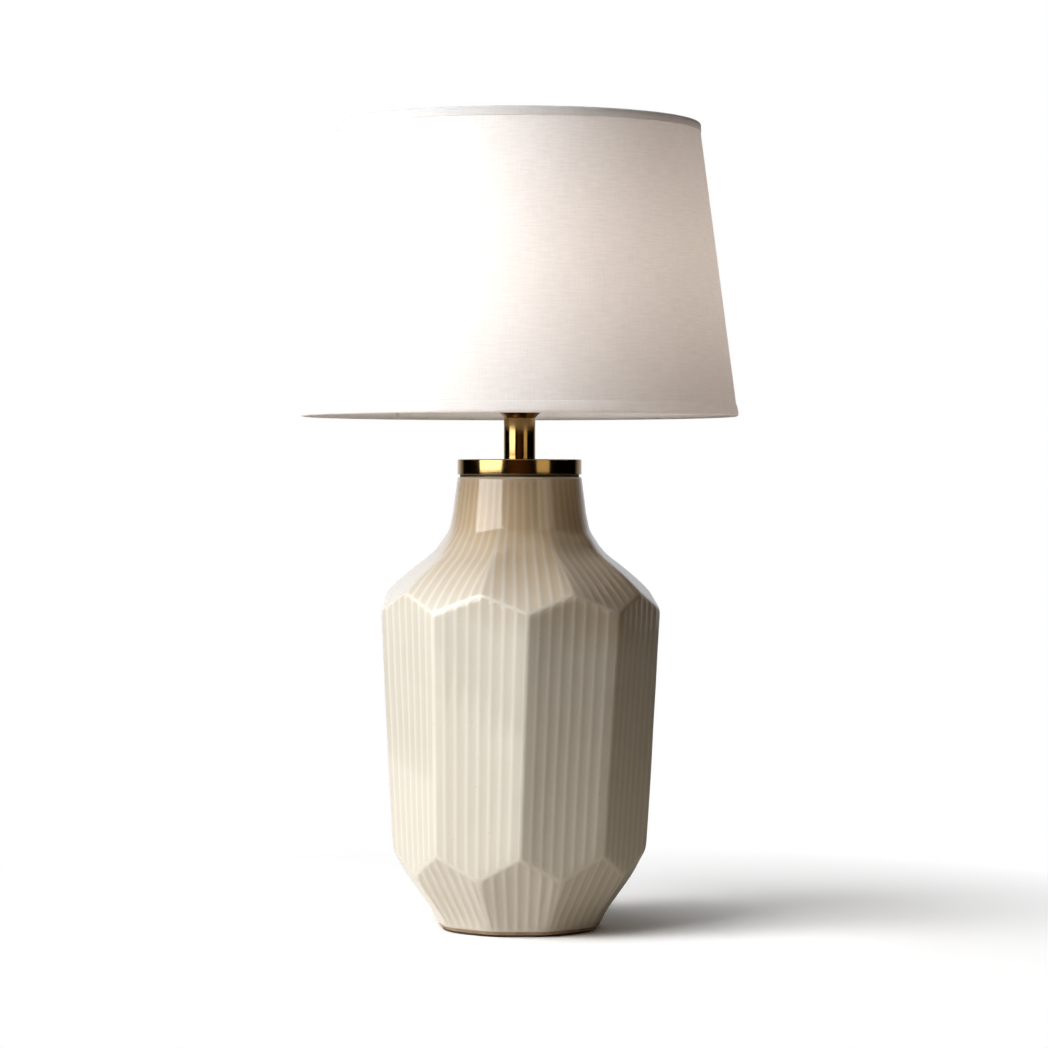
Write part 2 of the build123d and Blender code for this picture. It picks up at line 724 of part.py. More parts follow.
switch_shaft.part.label = "switch_shaft"
export_step(switch_shaft.part, "parts/switch_shaft.step")
switch_knob.part.label = "switch_knob"
export_step(switch_knob.part, "parts/switch_knob.step")
shade_ring.part.label = "shade_ring"
export_step(shade_ring.part, "parts/shade_ring.step")
shade_spider.part.label = "shade_spider"
export_step(shade_spider.part, "parts/shade_spider.step")
bottom_wire.part.label = "bottom_wire"
export_step(bottom_wire.part, "parts/bottom_wire.step")
top_wire.part.label = "top_wire"
export_step(top_wire.part, "parts/top_wire.step")
shade_liner.part.label = "shade_liner"
export_step(shade_liner.part, "parts/shade_liner.step")
shade_fabric.part.label = "shade_fabric"
export_step(shade_fabric.part, "parts/shade_fabric.step")
bottom_hem.part.label = "bottom_hem"
export_step(bottom_hem.part, "parts/bottom_hem.step")
top_hem.part.label = "top_hem"
export_step(top_hem.part, "parts/top_hem.step")
bulb_tip.part.label = "bulb_tip"
export_step(bulb_tip.part, "parts/bulb_tip.step")
bulb_insulator.part.label = "bulb_insulator"
export_step(bulb_insulator.part, "parts/bulb_insulator.step")
bulb_cap.part.label = "bulb_cap"
export_step(bulb_cap.part, "parts/bulb_cap.step")
bulb_housing.part.label = "bulb_housing"
export_step(bulb_housing.part, "parts/bulb_housing.step")
bulb_led_board.part.label = "bulb_led_board"
export_step(bulb_led_board.part, "parts/bulb_led_board.step")
bulb_dome.part.label = "bulb_dome"
export_step(bulb_dome.part, "parts/bulb_dome.step")
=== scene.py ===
"""Looks of the table lamp: fluted ceramic, aged brass, linen shade, opal bulb.

Metres, in the CAD frame: +Z up, the front faces -Y. Bearings are turns about +Z from the
front towards +X, in radians.
"""

import math

import bmesh
import bpy
import numpy as np
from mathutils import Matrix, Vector


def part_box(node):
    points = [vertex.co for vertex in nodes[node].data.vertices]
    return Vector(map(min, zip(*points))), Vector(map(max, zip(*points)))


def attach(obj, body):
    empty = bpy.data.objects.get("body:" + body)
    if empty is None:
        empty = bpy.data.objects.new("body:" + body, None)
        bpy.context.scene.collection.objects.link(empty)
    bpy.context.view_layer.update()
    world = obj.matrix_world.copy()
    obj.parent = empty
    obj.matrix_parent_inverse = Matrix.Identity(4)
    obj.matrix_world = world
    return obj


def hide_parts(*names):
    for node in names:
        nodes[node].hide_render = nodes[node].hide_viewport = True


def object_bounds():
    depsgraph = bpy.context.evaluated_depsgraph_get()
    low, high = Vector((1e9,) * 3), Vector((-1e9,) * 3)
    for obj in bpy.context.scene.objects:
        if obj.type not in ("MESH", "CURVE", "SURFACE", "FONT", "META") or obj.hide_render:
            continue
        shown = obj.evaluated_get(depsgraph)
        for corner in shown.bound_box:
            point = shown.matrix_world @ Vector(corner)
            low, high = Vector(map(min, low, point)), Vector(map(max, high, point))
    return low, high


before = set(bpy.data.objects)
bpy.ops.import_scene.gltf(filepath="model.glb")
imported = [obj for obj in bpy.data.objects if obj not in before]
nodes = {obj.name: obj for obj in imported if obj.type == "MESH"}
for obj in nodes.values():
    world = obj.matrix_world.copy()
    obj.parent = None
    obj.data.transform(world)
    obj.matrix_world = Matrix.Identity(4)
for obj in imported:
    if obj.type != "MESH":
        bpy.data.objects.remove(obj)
cad_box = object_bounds()

MM = 0.001
DEG = math.pi / 180


# ---- meshes -------------------------------------------------------------------------------


def smoothstep(x):
    """0 below 0, 1 above 1, and a smooth rise between."""
    x = np.clip(x, 0, 1)
    return x * x * (3 - 2 * x)


def smooth_curve(knots):
    """A kink-free curve through (height, radius) knots in millimetres, as a function in metres."""
    z, r = (np.array(values, float) * MM for values in zip(*knots))
    slope = np.gradient(r, z)

    def at(height):
        height = np.clip(height, z[0], z[-1])
        i = np.clip(np.searchsorted(z, height) - 1, 0, len(z) - 2)
        span = z[i + 1] - z[i]
        t = (height - z[i]) / span
        start = (1 + 2 * t) * (1 - t) ** 2 * r[i] + t * (1 - t) ** 2 * span * slope[i]
        end = t * t * (3 - 2 * t) * r[i + 1] + t * t * (t - 1) * span * slope[i + 1]
        return start + end

    return at


def around(bearing, radius, z):
    """Points at these bearings, radii and heights."""
    return np.stack([radius * np.sin(bearing), -radius * np.cos(bearing), z], -1)


def add_mesh(name, points, faces, slots=None, sharp=50):
    """A smooth-shaded object from points and quads; edges sharper than sharp degrees stay crisp."""
    mesh = bpy.data.meshes.new(name)
    mesh.from_pydata(points.reshape(-1, 3).tolist(), [], faces)
    if slots is not None:
        mesh.polygons.foreach_set("material_index", slots)
    mesh.shade_smooth()
    mesh.set_sharp_from_angle(angle=sharp * DEG)
    mesh.update()
    obj = bpy.data.objects.new(name, mesh)
    bpy.context.scene.collection.objects.link(obj)
    return obj


def ring_faces(rows, columns):
    """Quads of a grid that closes round its columns and round its rows."""
    faces = []
    for i in range(rows):
        j = (i + 1) % rows
        for c in range(columns):
            d = (c + 1) % columns
            faces.append((i * columns + c, i * columns + d, j * columns + d, j * columns + c))
    return faces


def rounded(outline, radius, steps=5):
    """The outline with each corner rounded; radius is one value or one for each corner, 0 for none."""
    radii = radius if hasattr(radius, "__len__") else [radius] * len(outline)
    out = []
    for i, corner in enumerate(outline):
        here = Vector(corner)
        back, on = Vector(outline[i - 1]) - here, Vector(outline[(i + 1) % len(outline)]) - here
        half = back.angle(on, math.pi) / 2
        reach = min(radii[i] / max(math.tan(half), 1e-6), 0.49 * back.length, 0.49 * on.length)
        if reach < 1e-6 or half > 89 * DEG:
            out.append(tuple(here))
            continue
        start, end = here + back.normalized() * reach, here + on.normalized() * reach
        for s in range(steps + 1):
            t = s / steps
            out.append(tuple(start * (1 - t) ** 2 + here * 2 * t * (1 - t) + end * t * t))
    return out


def lathe(name, outline, segments=192, wobble=None, sharp=35):
    """A closed outline of (radius, height) points in metres, turned about Z.

    wobble, if given, takes bearings and heights and returns what to add to the radius.
    """
    r, z = np.array(outline, float).T
    bearing = np.linspace(0, 2 * math.pi, segments, endpoint=False)
    bearings, radii = np.meshgrid(bearing, r)
    heights = np.repeat(z[:, None], segments, 1)
    if wobble:
        radii = radii + wobble(bearings, heights)
    obj = add_mesh(name, around(bearings, radii, heights), ring_faces(len(r), segments), sharp=sharp)
    fix_normals(obj)
    return obj


def fix_normals(obj):
    """Faces of a closed mesh point outwards."""
    made = bmesh.new()
    made.from_mesh(obj.data)
    bmesh.ops.recalc_face_normals(made, faces=made.faces)
    made.to_mesh(obj.data)
    made.free()


def cylinder(name, radius, low, high, segments=64):
    """A plain closed cylinder between two points, for cutting."""
    low, high = Vector(low), Vector(high)
    made = bmesh.new()
    bmesh.ops.create_cone(
        made, cap_ends=True, segments=segments, radius1=radius, radius2=radius, depth=(high - low).length
    )
    mesh = bpy.data.meshes.new(name)
    made.to_mesh(mesh)
    made.free()
    obj = bpy.data.objects.new(name, mesh)
    bpy.context.scene.collection.objects.link(obj)
    turn = (high - low).to_track_quat("Z", "Y").to_matrix().to_4x4()
    turn.translation = (low + high) / 2
    mesh.transform(turn)
    return obj


def cut(obj, *cutters):
    """Takes the cutters' shapes out of obj and removes them."""
    for cutter in cutters:
        step = obj.modifiers.new("cut", "BOOLEAN")
        step.operation = "DIFFERENCE"
        step.solver = "EXACT"
        step.object = cutter
        bpy.context.view_layer.objects.active = obj
        bpy.ops.object.modifier_apply(modifier=step.name)
        bpy.data.objects.remove(cutter)


# ---- material helpers ---------------------------------------------------------------------


class Shader:
    """A material and its node tree, with short ways to add nodes."""

    def __init__(self, name, **values):
        self.material = bpy.data.materials.new(name)
        self.material.use_nodes = True
        self.tree = self.material.node_tree
        self.surface = self.tree.nodes["Principled BSDF"]
        self.output = self.tree.nodes["Material Output"]
        for key, value in values.items():
            self.surface.inputs[key.replace("_", " ")].default_value = value

    def node(self, kind, **settings):
        made = self.tree.nodes.new(kind)
        for key, value in settings.items():
            setattr(made, key, value)
        return made

    def link(self, source, target):
        self.tree.links.new(source, target)

    def math(self, operation, a, b=None):
        """A Math node's result; a and b are sockets or numbers."""
        made = self.node("ShaderNodeMath", operation=operation)
        for socket, value in zip(made.inputs, (a, b)):
            if isinstance(value, bpy.types.NodeSocket):
                self.link(value, socket)
            elif value is not None:
                socket.default_value = value
        return made.outputs[0]

    def coordinates(self, stretch=(1, 1, 1), uv=None):
        """Object coordinates, or a UV map's, in metres and stretched."""
        if uv:
            source = self.node("ShaderNodeUVMap", uv_map=uv).outputs["UV"]
        else:
            source = self.node("ShaderNodeTexCoord").outputs["Object"]
        mapping = self.node("ShaderNodeMapping")
        mapping.inputs["Scale"].default_value = stretch
        self.link(source, mapping.inputs["Vector"])
        return mapping.outputs["Vector"]

    def noise(self, scale, detail=3.0, stretch=(1, 1, 1), uv=None, roughness=0.5):
        """Noise from 0 to 1 with scale features to the metre."""
        made = self.node("ShaderNodeTexNoise")
        made.inputs["Scale"].default_value = scale
        made.inputs["Detail"].default_value = detail
        made.inputs["Roughness"].default_value = roughness
        self.link(self.coordinates(stretch, uv), made.inputs["Vector"])
        return made.outputs["Fac"]

    def spread(self, value, low, high, start=0.0, end=1.0):
        """value from start..end to low..high, held at the ends."""
        made = self.node("ShaderNodeMapRange")
        for key, number in zip(("From Min", "From Max", "To Min", "To Max"), (start, end, low, high)):
            made.inputs[key].default_value = number
        self.link(value, made.inputs["Value"])
        return made.outputs["Result"]

    def mix(self, factor, a, b, blend="MIX"):
        """A colour between a and b; each is a socket or an (r, g, b)."""
        made = self.node("ShaderNodeMix", data_type="RGBA", blend_type=blend)
        for socket, value in ((made.inputs[0], factor), (made.inputs[6], a), (made.inputs[7], b)):
            if isinstance(value, bpy.types.NodeSocket):
                self.link(value, socket)
            else:
                socket.default_value = value if isinstance(value, (int, float)) else (*value, 1)
        return made.outputs[2]

    def colour(self, socket):
        self.link(socket, self.surface.inputs["Base Color"])

    def roughness(self, socket):
        self.link(socket, self.surface.inputs["Roughness"])

    def bump(self, *layers):
        """Each layer is (height socket, its full depth in metres)."""
        normal = None
        for height, depth in layers:
            made = self.node("ShaderNodeBump")
            made.inputs["Strength"].default_value = 1.0
            made.inputs["Distance"].default_value = depth
            self.link(height, made.inputs["Height"])
            if normal:
                self.link(normal, made.inputs["Normal"])
            normal = made.outputs["Normal"]
        self.link(normal, self.surface.inputs["Normal"])
        return normal


def tinted(colour, factor):
    """The colour made lighter or darker."""
    return tuple(min(1.0, c * factor) for c in colour)


# ---- materials ----------------------------------------------------------------------------

CREAM = (0.685, 0.645, 0.56)
CREST = (0.83, 0.80, 0.72)  # where the glaze runs thin
# tan: partly the glaze's own colour, partly painted shadow and warm bulb light under the lamp shade
TAN = (0.50, 0.37, 0.225)
SPECK = (0.22, 0.14, 0.08)
CLAY = (0.42, 0.29, 0.19)
TAN_STARTS, TAN_FULL = 0.225, 0.3  # heights between which cream turns to tan
SHADED_SIDE_SLANT = 0.25  # drop of the tan's edge towards +X: painted shade, so the side away from the key light turns darker tan


def glaze():
    """Glossy glaze, cream below and tan at the neck, paler where it runs thin over the crests; the tan is partly
    the glaze's own colour and partly painted shadow and warm bulb light under the lamp shade.
    """
    s = Shader(
        "glaze",
        Roughness=0.28,
        IOR=1.5,
        Specular_IOR_Level=0.2,
        Coat_Weight=1.0,
        Coat_Roughness=0.03,
        Coat_IOR=1.52,
    )
    height = s.node("ShaderNodeSeparateXYZ")
    s.link(s.coordinates(), height.inputs[0])
    cloud = s.noise(14, 4)
    level = s.math("ADD", height.outputs["Z"], s.math("MULTIPLY", s.math("SUBTRACT", cloud, 0.5), 0.04))
    # painted shade: the tan reaches lower on the +X side, away from the key light
    level = s.math("ADD", level, s.math("MULTIPLY", height.outputs["X"], SHADED_SIDE_SLANT))
    # cream turns to tan upwards: the tan is partly glaze colour and partly painted shade under the lamp shade
    body = s.mix(s.spread(level, 0, 1, TAN_STARTS, TAN_FULL), CREAM, TAN)
    drift = s.spread(s.noise(22, 2), 0.97, 1.02, 0.3, 0.7)
    body = s.mix(1.0, body, s.mix(drift, (0, 0, 0), (1, 1, 1)), "MULTIPLY")
    crest = s.node("ShaderNodeAttribute", attribute_name="crest").outputs["Fac"]
    thin = s.math("MULTIPLY", s.spread(crest, 0, 1, 0.35, 1.0), s.spread(level, 0.62, 0.25, 0.24, 0.3))
    body = s.mix(thin, body, s.mix(s.spread(level, 0, 1, TAN_STARTS, TAN_FULL), CREST, tinted(CREST, 0.82)))
    speck = s.spread(s.noise(620, 2), 0, 1, 0.745, 0.775)
    s.colour(s.mix(s.math("MULTIPLY", speck, 0.55), body, SPECK))
    normal = s.bump((s.noise(170, 2), 0.000012), (s.noise(900, 2), 0.000002))
    s.link(normal, s.surface.inputs["Coat Normal"])
    return s.material


def bare_clay():
    """Unglazed, fired clay of the foot ring."""
    s = Shader("bare_clay", Roughness=0.85)
    s.colour(s.mix(s.spread(s.noise(160, 5), 0, 1, 0.3, 0.7), tinted(CLAY, 0.78), tinted(CLAY, 1.25)))
    s.bump((s.noise(900, 4), 0.00015))
    return s.material


def brass(name, colour, roughness, patina):
    """Turned and lacquered brass: fine rings from the lathe, cloudy darkening with age."""
    s = Shader(name, Metallic=1.0, Anisotropic=0.1)
    age = s.spread(s.noise(55, 5, roughness=0.65), 0, 1, 0.42, 0.75)
    spots = s.spread(s.noise(420, 3), 0, 1, 0.62, 0.75)
    body = s.mix(s.math("MULTIPLY", age, patina), colour, tinted(colour, 0.55))
    s.colour(s.mix(s.math("MULTIPLY", spots, patina * 0.6), body, tinted(colour, 0.35)))
    rings = s.noise(260, 3, stretch=(0.06, 0.06, 14))
    s.roughness(s.spread(s.math("ADD", rings, s.math("MULTIPLY", age, 0.3)), roughness * 0.75, roughness * 1.4))
    s.bump((rings, 0.000012))
    return s.material


def moulded(name, colour, roughness, grain=0.00004):
    """Moulded plastic or rubber with a faint skin texture and slight flow marks."""
    s = Shader(name, IOR=1.5)
    s.colour(s.mix(s.spread(s.noise(45, 4), 0, 1, 0.3, 0.7), tinted(colour, 0.85), tinted(colour, 1.12)))
    s.roughness(s.spread(s.noise(120, 3), roughness * 0.8, roughness * 1.25))
    s.bump((s.noise(1400, 3), grain))
    return s.material


def plated(name, colour, roughness):
    """Zinc or nickel plate, slightly cloudy and finely scratched."""
    s = Shader(name, Metallic=1.0)
    s.colour(s.mix(s.spread(s.noise(130, 5), 0, 1, 0.35, 0.7), tinted(colour, 0.8), tinted(colour, 1.08)))
    scratch = s.noise(420, 3, stretch=(0.1, 0.1, 6))
    s.roughness(s.spread(scratch, roughness * 0.7, roughness * 1.4))
    s.bump((scratch, 0.00001))
    return s.material


def felt():
    """Pressed wool felt."""
    s = Shader("felt", Roughness=0.95, Sheen_Weight=0.3)
    # near-black: partly the felt's own colour, partly painted contact shadow where the foot meets the floor
    s.colour(s.mix(s.spread(s.noise(1300, 5), 0, 1, 0.3, 0.7), (0.03, 0.03, 0.03), (0.1, 0.1, 0.095)))
    s.bump((s.noise(2100, 5), 0.0004))
    return s.material


def porcelain():
    """Dry-pressed white porcelain."""
    s = Shader("porcelain", Roughness=0.45)
    s.colour(s.mix(s.spread(s.noise(90, 4), 0, 1, 0.3, 0.7), (0.78, 0.76, 0.70), (0.86, 0.85, 0.81)))
    s.bump((s.noise(1500, 4), 0.00006))
    return s.material


def powder_coat():
    """White powder coat on wire."""
    s = Shader("powder_coat", Roughness=0.45)
    s.colour(s.mix(s.spread(s.noise(70, 3), 0, 1, 0.3, 0.7), (0.80, 0.79, 0.75), (0.88, 0.87, 0.84)))
    s.bump((s.noise(900, 3), 0.00008))
    return s.material


def see_light_through(s, colour, share, normal=None):
    """Mixes in this share of light that comes through from the far side, tinted by the colour socket."""
    through = s.node("ShaderNodeBsdfTranslucent")
    s.link(colour, through.inputs["Color"])
    if normal:
        s.link(normal, through.inputs["Normal"])
    both = s.node("ShaderNodeMixShader")
    both.inputs[0].default_value = share
    s.link(s.surface.outputs[0], both.inputs[1])
    s.link(through.outputs[0], both.inputs[2])
    s.link(both.outputs[0], s.output.inputs["Surface"])


THREAD = 0.55 * MM  # pitch of the linen's threads


def linen(name="linen", shade=1.0):
    """Off-white slub linen: a plain weave whose threads thicken and thin along their length."""
    s = Shader(name, Roughness=0.9, Sheen_Weight=0.15, Sheen_Roughness=0.5)
    split = s.node("ShaderNodeSeparateXYZ")
    s.link(s.coordinates(uv="weave"), split.inputs[0])
    turns = math.pi / THREAD
    across = s.math("SINE", s.math("MULTIPLY", split.outputs["X"], turns))
    along = s.math("SINE", s.math("MULTIPLY", split.outputs["Y"], turns))
    over = s.math("ABSOLUTE", s.math("MULTIPLY", across, along))
    weft = s.noise(1, 3, stretch=(75, 850, 1), uv="weave")
    warp = s.noise(1, 3, stretch=(1000, 60, 1), uv="weave")
    slub = s.math("ADD", s.math("MULTIPLY", weft, 0.62), s.math("MULTIPLY", warp, 0.38))
    # a shade below 1 gives a darker copy of this linen: painted shade, used for the hem tapes
    base = (0.92 * shade, 0.925 * shade, 0.93 * shade)
    tone = s.mix(s.spread(slub, 0, 1, 0.38, 0.62), tinted(base, 0.95), tinted(base, 1.03))
    # painted shade: the cloth is darker between the threads, where they pass under each other
    tone = s.mix(s.math("MULTIPLY", s.math("SUBTRACT", 1.0, over), 0.10), tone, tinted(base, 0.6))
    s.colour(tone)
    normal = s.bump((slub, 0.00018), (over, 0.00008))
    see_light_through(s, tone, 0.5, normal)
    return s.material


def styrene():
    """Stiff white sheet that backs the linen."""
    s = Shader("styrene", Roughness=0.5)
    tone = s.mix(s.spread(s.noise(30, 3), 0, 1, 0.3, 0.7), (0.92, 0.915, 0.90), (0.95, 0.945, 0.93))
    s.colour(tone)
    s.bump((s.noise(260, 3), 0.00008))
    see_light_through(s, tone, 0.35)
    return s.material


def opal():
    """Diffusing cover of the bulb, softly lit through."""
    s = Shader("opal", Roughness=0.35)
    tone = s.mix(s.spread(s.noise(25, 2), 0, 1, 0.3, 0.7), (0.90, 0.89, 0.86), (0.93, 0.92, 0.90))
    s.colour(tone)
    s.bump((s.noise(1500, 2), 0.00002))
    see_light_through(s, tone, 0.4)
    return s.material


# ---- ceramic vase -------------------------------------------------------------------------

FACETS = 9
STEP = 2 * math.pi / FACETS
HALF = STEP / 2
GLAZE_Z, LIP_Z, RIM_Z = 4.2 * MM, 339.6 * MM, 342.9 * MM  # the outside's ends, and the rim's top
LOW_TURN, HIGH_TURN = 0.2 * DEG, 3.4 * DEG  # bearing of the panels' corners, low and high
LOW_LEVEL, HIGH_LEVEL = 61 * MM, 242 * MM  # the heights of those bearings
PANEL_LOW, PANEL_HIGH = (60 * MM, 98.0 * MM), (231 * MM, 107.5 * MM)  # height and corner radius
EDGE = 1.4 * MM  # how far the ridges are softened; twice as much at the neck
SOFT_Z, SOFT_RISE = 290 * MM, 20 * MM  # where that softening starts to grow, and over what height
ROUND_Z, ROUND_RISE = 294 * MM, 18 * MM  # where the facets start to give way to the round neck
PANEL_RELIEF, SHOULDER_RELIEF, NECK_RELIEF, FOOT_RELIEF = (depth * MM for depth in (0.2, 0.26, 0.03, 0.45))
CREST_WIDTH = 1.9 * MM
FOOT_RIB_SHIFT = -2.2 * MM  # the foot's flutes sit a little to the left of each facet's middle
FLUTE_ENDS = 4 * MM  # height over which the flutes start at the foot and end at the rim
BORDER = 1.9 * MM  # how far below its neighbour's surface a flat lies before its flutes start

# half-width across the flats of the facets above and below the panels, and the round neck
shoulder_flat = smooth_curve(
    [(230, 118), (242, 108.1), (258, 94.3), (270.4, 81.2), (276.5, 74), (282.5, 66.8), (289, 61.2), (295, 57.8)]
    + [(301, 54.9), (310, 52.2), (325, 50.0), (335, 48.6), (343, 48.4)]
)
foot_flat = smooth_curve(
    [(0, 59.6), (6, 62), (12.2, 64.9), (24.4, 72.9), (36.5, 81.2), (45, 86.6), (61, 97.7), (80, 112)]
)
round_limit = smooth_curve(
    [(0, 60.6), (3, 62.6), (6, 64.9), (12, 69.5), (24, 80), (60, 125), (240, 125), (262, 100), (276.5, 79.8)]
    + [(282.5, 70.9), (288.6, 64.0), (294.7, 59.4), (300.8, 55.0), (309.9, 51.7), (325, 49.3), (343, 46.9)]
)


def panel_turn(z):
    """Bearing of a panel's corner at height z."""
    share = (z - LOW_LEVEL) / (HIGH_LEVEL - LOW_LEVEL)
    return LOW_TURN + (HIGH_TURN - LOW_TURN) * share


def panel_flat(z):
    """Half-width across the flats of the panels at height z."""
    share = (z - PANEL_LOW[0]) / (PANEL_HIGH[0] - PANEL_LOW[0])
    return (PANEL_LOW[1] + (PANEL_HIGH[1] - PANEL_LOW[1]) * share) * math.cos(HALF)


def facets(bearing, centre, flat):
    """Radius to the nearest flat and to its neighbour, and the distance along the flat from its middle."""
    turn = (bearing - centre + HALF) % STEP - HALF
    return flat / np.cos(turn), flat / np.cos(STEP - np.abs(turn)), flat * np.tan(turn)


def facet_families(bearing, z):
    """The panels, the shoulder's facets and the foot's facets, in that order."""
    return [
        facets(bearing, panel_turn(z) + HALF, panel_flat(z)),
        facets(bearing, HIGH_TURN, shoulder_flat(z)),
        facets(bearing, LOW_TURN, foot_flat(z)),
    ]


def flute_count(z):
    """Flutes across a facet of each family at this height."""
    shoulder = 8 - 2 * smoothstep((z - 252 * MM) / (44 * MM))
    foot = 6 + np.clip((z - 5 * MM) / (36 * MM), 0, 1.6)
    return [np.full_like(z, 8.0), shoulder, foot]


def vase_surface(bearing, z):
    """Radius of the fluted ceramic, and how near each point is to a crest, from 0 to 1."""
    families = facet_families(bearing, z)
    flats = np.stack([f[0] for f in families] + [f[1] for f in families])
    every = np.concatenate([flats, round_limit(z)[None]])
    lowest = every.min(0)
    softness = EDGE * (1 + smoothstep((z - SOFT_Z) / SOFT_RISE))
    radius = lowest - softness * np.log(np.exp((lowest - every) / softness).sum(0))
    radius += (round_limit(z) - radius) * smoothstep((z - ROUND_Z) / ROUND_RISE)
    first, second = np.sort(flats, 0)[:2]
    inside = smoothstep((second - first - 0.35 * MM) / BORDER)
    which = flats[:3].argmin(0)
    along = np.choose(which, [families[0][2], families[1][2], families[2][2] - FOOT_RIB_SHIFT])
    flat = np.choose(which, [panel_flat(z), shoulder_flat(z), foot_flat(z)])
    pitch = 2 * flat * math.tan(HALF) / np.choose(which, flute_count(z))
    phase = along / pitch
    off_crest = np.abs(phase - np.round(phase))
    hollow = 0.72 * (1 - np.exp(-((off_crest * pitch / CREST_WIDTH) ** 2)))
    hollow += 0.28 * np.sin(math.pi * off_crest) ** 2
    ends = smoothstep((z - 4 * MM) / FLUTE_ENDS) * smoothstep((RIM_Z - 1.5 * MM - z) / FLUTE_ENDS)
    hollow = hollow * inside * ends
    shoulder = SHOULDER_RELIEF + (NECK_RELIEF - SHOULDER_RELIEF) * smoothstep((z - 280 * MM) / (15 * MM))
    relief = np.choose(which, [np.full_like(z, PANEL_RELIEF), shoulder, np.full_like(z, FOOT_RELIEF)])
    return radius - relief * hollow, 1 - hollow


def hand_made(bearing, z):
    """Slow unevenness of a slip-cast pot, in metres."""
    waves = np.sin(2 * bearing + 31 * z + 0.7) + 0.8 * np.sin(3 * bearing - 47 * z + 2.1)
    waves += 0.5 * np.sin(5 * bearing + 83 * z + 4.0) + 0.35 * np.sin(7 * bearing - 120 * z + 1.2)
    return 0.11 * MM * waves


COLUMNS = 72  # in one facet's width: 9 to a flute where there are 8 flutes, 12 where there are 6
NINE = np.array([0, 0.085, 0.17, 0.28, 0.43, 0.57, 0.72, 0.83, 0.915])
TWELVE = np.array([0, 0.065, 0.13, 0.2, 0.29, 0.39, 0.5, 0.61, 0.71, 0.8, 0.87, 0.935])


def on_flat(share):
    """Bearing from a flat's middle of a point that lies this share of the way across it."""
    return np.arctan((2 * share - 1) * math.tan(HALF))


def column_bearings():
    """Bearings of one facet's columns: bunched at the crests of the panels, of 8 flutes and of 6, and even."""
    n = np.arange(COLUMNS)
    eight = (n // 9 + NINE[n % 9]) / 8
    six = (n // 12 + TWELVE[n % 12]) / 6
    from_panel = np.where(eight < 0.5, on_flat(eight + 0.5) - HALF, on_flat(eight - 0.5) + HALF)
    return from_panel, on_flat(eight), on_flat(six), n / COLUMNS * STEP - HALF


def meeting_height(bearings, family, low, high):
    """Height at which the panels meet another family's facets, by halving."""
    low, high = np.full(COLUMNS, low), np.full(COLUMNS, high)
    rising = family == 1
    for _ in range(40):
        z = (low + high) / 2
        families = facet_families(bearings + panel_turn(z), z)
        panel, other = (np.minimum(f[0], f[1]) for f in (families[0], families[family]))
        above = (other < panel) == rising
        low, high = np.where(above, low, z), np.where(above, z, high)
    return (low + high) / 2


# heights of the rows beside each zigzag edge, from the edge
BAND = np.array([-6.5, -4.6, -3.3, -2.3, -1.5, -0.75, 0, 0.75, 1.5, 2.3, 3.3, 4.6, 6.5]) * MM


def vase_grid():
    """Bearings and heights of the outside's rows, one facet wide, with rows along the zigzag edges."""
    panel, kite, neck, even = column_bearings()
    foot_edge = meeting_height((panel + even) / 2, 2, 38 * MM, 68 * MM)
    top_edge = meeting_height((panel + kite) / 2, 1, 232 * MM, 262 * MM)
    reach = BAND[-1]
    rows = []

    def between(start, end, count, bearings):
        for i in range(1, count):
            t = i / count
            rows.append(((1 - t) * start + t * end, bearings))

    glaze_line = np.full(COLUMNS, GLAZE_Z)
    rows.append((glaze_line, even))
    between(glaze_line, foot_edge - reach, 22, even)
    for step in BAND:
        w = smoothstep((step + reach) / (2 * reach))
        rows.append((foot_edge + step, (1 - w) * even + w * panel))
    between(foot_edge + reach, top_edge - reach, 13, panel)
    for step in BAND:
        w = smoothstep((step + reach) / (2 * reach))
        rows.append((top_edge + step, (1 - w) * panel + w * kite))
    start, end = top_edge + reach, np.full(COLUMNS, LIP_Z)
    for level in np.concatenate([np.linspace(0, 0.36, 21)[1:], np.linspace(0.36, 1, 28)[1:]]):
        z = (1 - level) * start + level * end
        w = smoothstep((z - 258 * MM) / (8 * MM))
        v = smoothstep((z - 286 * MM) / (10 * MM))
        rows.append((z, (1 - w) * kite + w * ((1 - v) * even + v * neck)))
    heights = np.array([z for z, _ in rows])
    bearings = np.array([b for _, b in rows])
    return bearings + panel_turn(np.clip(heights, LOW_LEVEL, HIGH_LEVEL)), heights


def round_the_pot(part):
    """One facet's columns repeated all the way round."""
    return np.concatenate([part] * FACETS, 1)


# over the rim from the outer face (height, and inset from that face), then down inside and back
# along the underside (height, radius), in millimetres
LIP = [(340.9, 0.1), (341.8, 0.45), (342.45, 1.05), (342.8, 1.8), (342.9, 2.7)]
INSIDE = [(342.9, 43.2), (342.6, 42.0), (341.8, 41.2), (340, 41), (329, 41), (305, 47), (283, 60), (257, 87)]
INSIDE += [(240, 94), (222, 96), (142, 91.8), (62, 87.5), (42, 79.5), (21, 62), (21, 5.7), (14, 5.7), (14, 53)]
INSIDE += [(3, 53), (1.9, 53.4), (1.5, 54.2)]
CLAY_RING = [(1.5, 2.6), (1.7, 1.7), (2.2, 1.05), (3.0, 0.7), (3.9, 0.55)]
GLAZED_INSIDE = 4  # points of INSIDE that the glaze reaches

INLET_HOLE, INLET_SEAT = 5.5 * MM, 8.4 * MM  # radii of the cord's hole and of its bush's seat
INLET_FACE = 91.6 * MM  # how far back the seat's bottom lies


